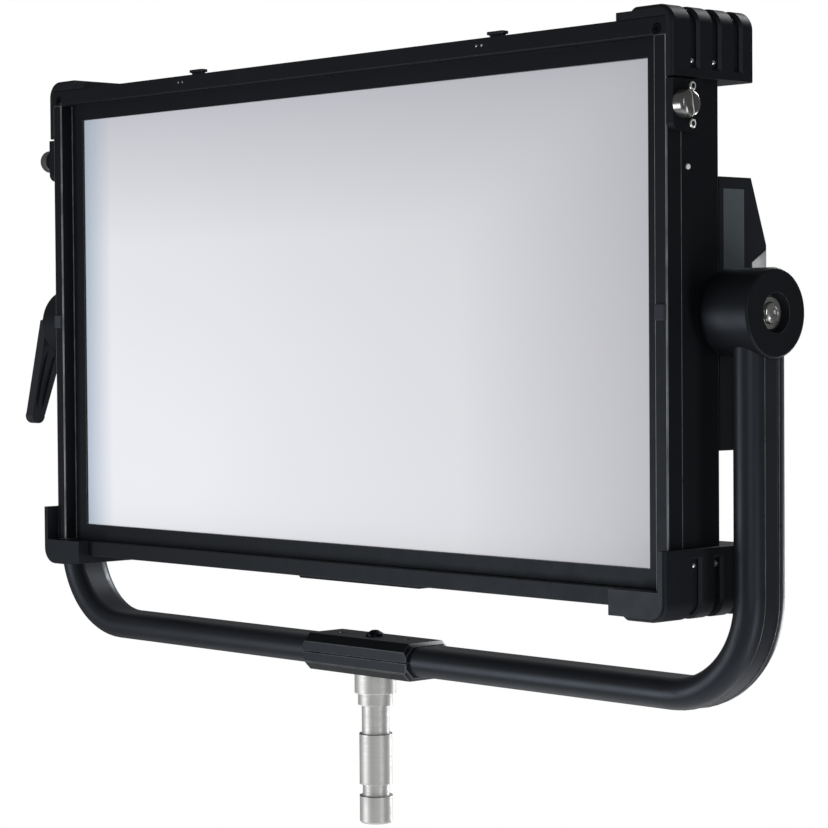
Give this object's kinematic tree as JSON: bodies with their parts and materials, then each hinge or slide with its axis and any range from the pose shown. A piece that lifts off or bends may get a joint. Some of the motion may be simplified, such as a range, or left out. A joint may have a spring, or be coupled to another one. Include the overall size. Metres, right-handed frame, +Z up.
{
  "type": "led panel light",
  "caption": "Large soft LED studio panel in a U-shaped tilting yoke with a clamp lever, rubber corner guards, rear control panel and a stand spigot.",
  "frame": {"origin": "centre of the spigot's lower end face", "axes": "+X along the tilt axis (the lamp's right seen from the front), -Y the way the light shines, +Z up"},
  "size_m": [0.929, 0.1426, 0.6682],
  "materials": {
    "frame_black": "fine satin powder coat",
    "housing_black": "fine textured powder coat",
    "guard_rubber": "smooth moulded rubber",
    "diffuser_white": "opal diffuser sheet",
    "liner_white": "matt white reflector",
    "board_white": "white solder mask",
    "bare_aluminium": "mill finish",
    "fin_black": "black anodised",
    "nickel": "polished nickel",
    "screw_steel": "zinc plated",
    "screw_black": "black oxide",
    "cast_black": "satin black casting",
    "tube_black": "satin black anodised tube",
    "lever_plastic": "glass filled nylon",
    "spigot_metal": "satin turned",
    "friction_fibre": "friction disc",
    "pad_rubber": "soft pad",
    "cover_black": "textured powder coat",
    "panel_black": "matt overlay",
    "window_glass": "smoked window",
    "socket_black": "moulded plastic",
    "knob_black": "fluted knob",
    "board_green": "circuit board",
    "supply_grey": "folded sheet case",
    "fan_black": "moulded fan",
    "guard_wire": "coated guard"
  },
  "bodies": {
    "yoke": {"yoke_tube": "tube_black", "yoke_hub_left": "cast_black", "yoke_hub_right": "cast_black", "pivot_washer": "nickel", "friction_discs": "friction_fibre", "clamp_upper": "cast_black", "clamp_lower": "cast_black", "clamp_screws": "screw_black", "spigot_bolt": "screw_black", "spigot": "spigot_metal"},
    "head": {"accessory_plate_left": "housing_black", "accessory_plate_right": "housing_black", "accessory_screws": "screw_steel", "back_plate": "housing_black", "control_board": "board_green", "control_plate": "panel_black", "data_sockets": "socket_black", "diffuser_bezel": "frame_black", "diffuser_panel": "diffuser_white", "display_window": "window_glass", "fan_frames": "fan_black", "fan_guards": "guard_wire", "guard_bottom_left": "guard_rubber", "guard_bottom_right": "guard_rubber", "guard_screws": "screw_steel", "guard_top_left": "guard_rubber", "guard_top_right": "guard_rubber", "heat_spreader": "bare_aluminium", "heatsinks": "fin_black", "housing_bottom": "housing_black", "housing_left": "housing_black", "housing_right": "housing_black", "housing_top": "housing_black", "led_board": "board_white", "mixing_chamber": "liner_white", "pivot_bolt_right": "nickel", "pivot_boss_left": "cast_black", "pivot_boss_right": "cast_black", "power_inlet": "socket_black", "power_supply": "supply_grey", "rail_bottom": "frame_black", "rail_left": "frame_black", "rail_right": "frame_black", "rail_top": "frame_black", "rear_cover": "cover_black", "rear_end_left": "cover_black", "rear_end_right": "cover_black", "rim_pads": "pad_rubber", "rim_screws": "screw_black"},
    "accessory_knob_left": {"accessory_knob_left": "nickel"},
    "accessory_knob_right": {"accessory_knob_right": "nickel"},
    "latch_tab_left": {"latch_tab_left": "lever_plastic"},
    "latch_tab_right": {"latch_tab_right": "lever_plastic"},
    "menu_knob": {"menu_knob": "knob_black"},
    "dimmer_knob": {"dimmer_knob": "knob_black"},
    "menu_button": {"menu_button": "knob_black"},
    "power_rocker": {"power_rocker": "socket_black"},
    "fan_rotor_1": {"fan_rotor_1": "fan_black"},
    "fan_rotor_2": {"fan_rotor_2": "fan_black"},
    "tilt_lever": {"tilt_lever": "lever_plastic"}
  },
  "joints": [
    {"name": "head_tilt", "type": "hinge", "parent": "yoke", "child": "head", "pos_m": [0, 0, 0.438], "axis": [1, 0, 0], "range_deg": [-90, 90]},
    {"name": "clamp_lever_turn", "type": "hinge", "parent": "yoke", "child": "tilt_lever", "pos_m": [-0.46, 0, 0.438], "axis": [1, 0, 0], "range_deg": [-75, 75]},
    {"name": "accessory_knob_left_turn", "type": "hinge", "parent": "head", "child": "accessory_knob_left", "pos_m": [-0.4, -0.0485, 0.5935], "axis": [-1, 0, 0], "range_deg": [0, 90]},
    {"name": "latch_tab_left_press", "type": "slide", "parent": "head", "child": "latch_tab_left", "axis": [0, 0, -1], "range_m": [0, 0.004], "stiffness_N_per_m": 600, "springref_m": -0.002},
    {"name": "accessory_knob_right_turn", "type": "hinge", "parent": "head", "child": "accessory_knob_right", "pos_m": [0.4, -0.0485, 0.5935], "axis": [1, 0, 0], "range_deg": [0, 90]},
    {"name": "latch_tab_right_press", "type": "slide", "parent": "head", "child": "latch_tab_right", "axis": [0, 0, -1], "range_m": [0, 0.004], "stiffness_N_per_m": 600, "springref_m": -0.002},
    {"name": "menu_knob_turn", "type": "hinge", "parent": "head", "child": "menu_knob", "pos_m": [0.058, 0.06, 0.438], "axis": [0, 1, 0], "continuous": true},
    {"name": "dimmer_knob_turn", "type": "hinge", "parent": "head", "child": "dimmer_knob", "pos_m": [0.1, 0.06, 0.438], "axis": [0, 1, 0], "continuous": true},
    {"name": "menu_button_press", "type": "slide", "parent": "head", "child": "menu_button", "axis": [0, -1, 0], "range_m": [0, 0.0015], "stiffness_N_per_m": 800, "springref_m": -0.001},
    {"name": "power_rocker_tip", "type": "hinge", "parent": "head", "child": "power_rocker", "pos_m": [0.15, 0.0556, 0.438], "axis": [1, 0, 0], "range_deg": [-9, 9]},
    {"name": "fan_1_spin", "type": "hinge", "parent": "head", "child": "fan_rotor_1", "pos_m": [-0.195, 0.05, 0.438], "axis": [0, 1, 0], "continuous": true},
    {"name": "fan_2_spin", "type": "hinge", "parent": "head", "child": "fan_rotor_2", "pos_m": [-0.295, 0.05, 0.438], "axis": [0, 1, 0], "continuous": true}
  ]
}
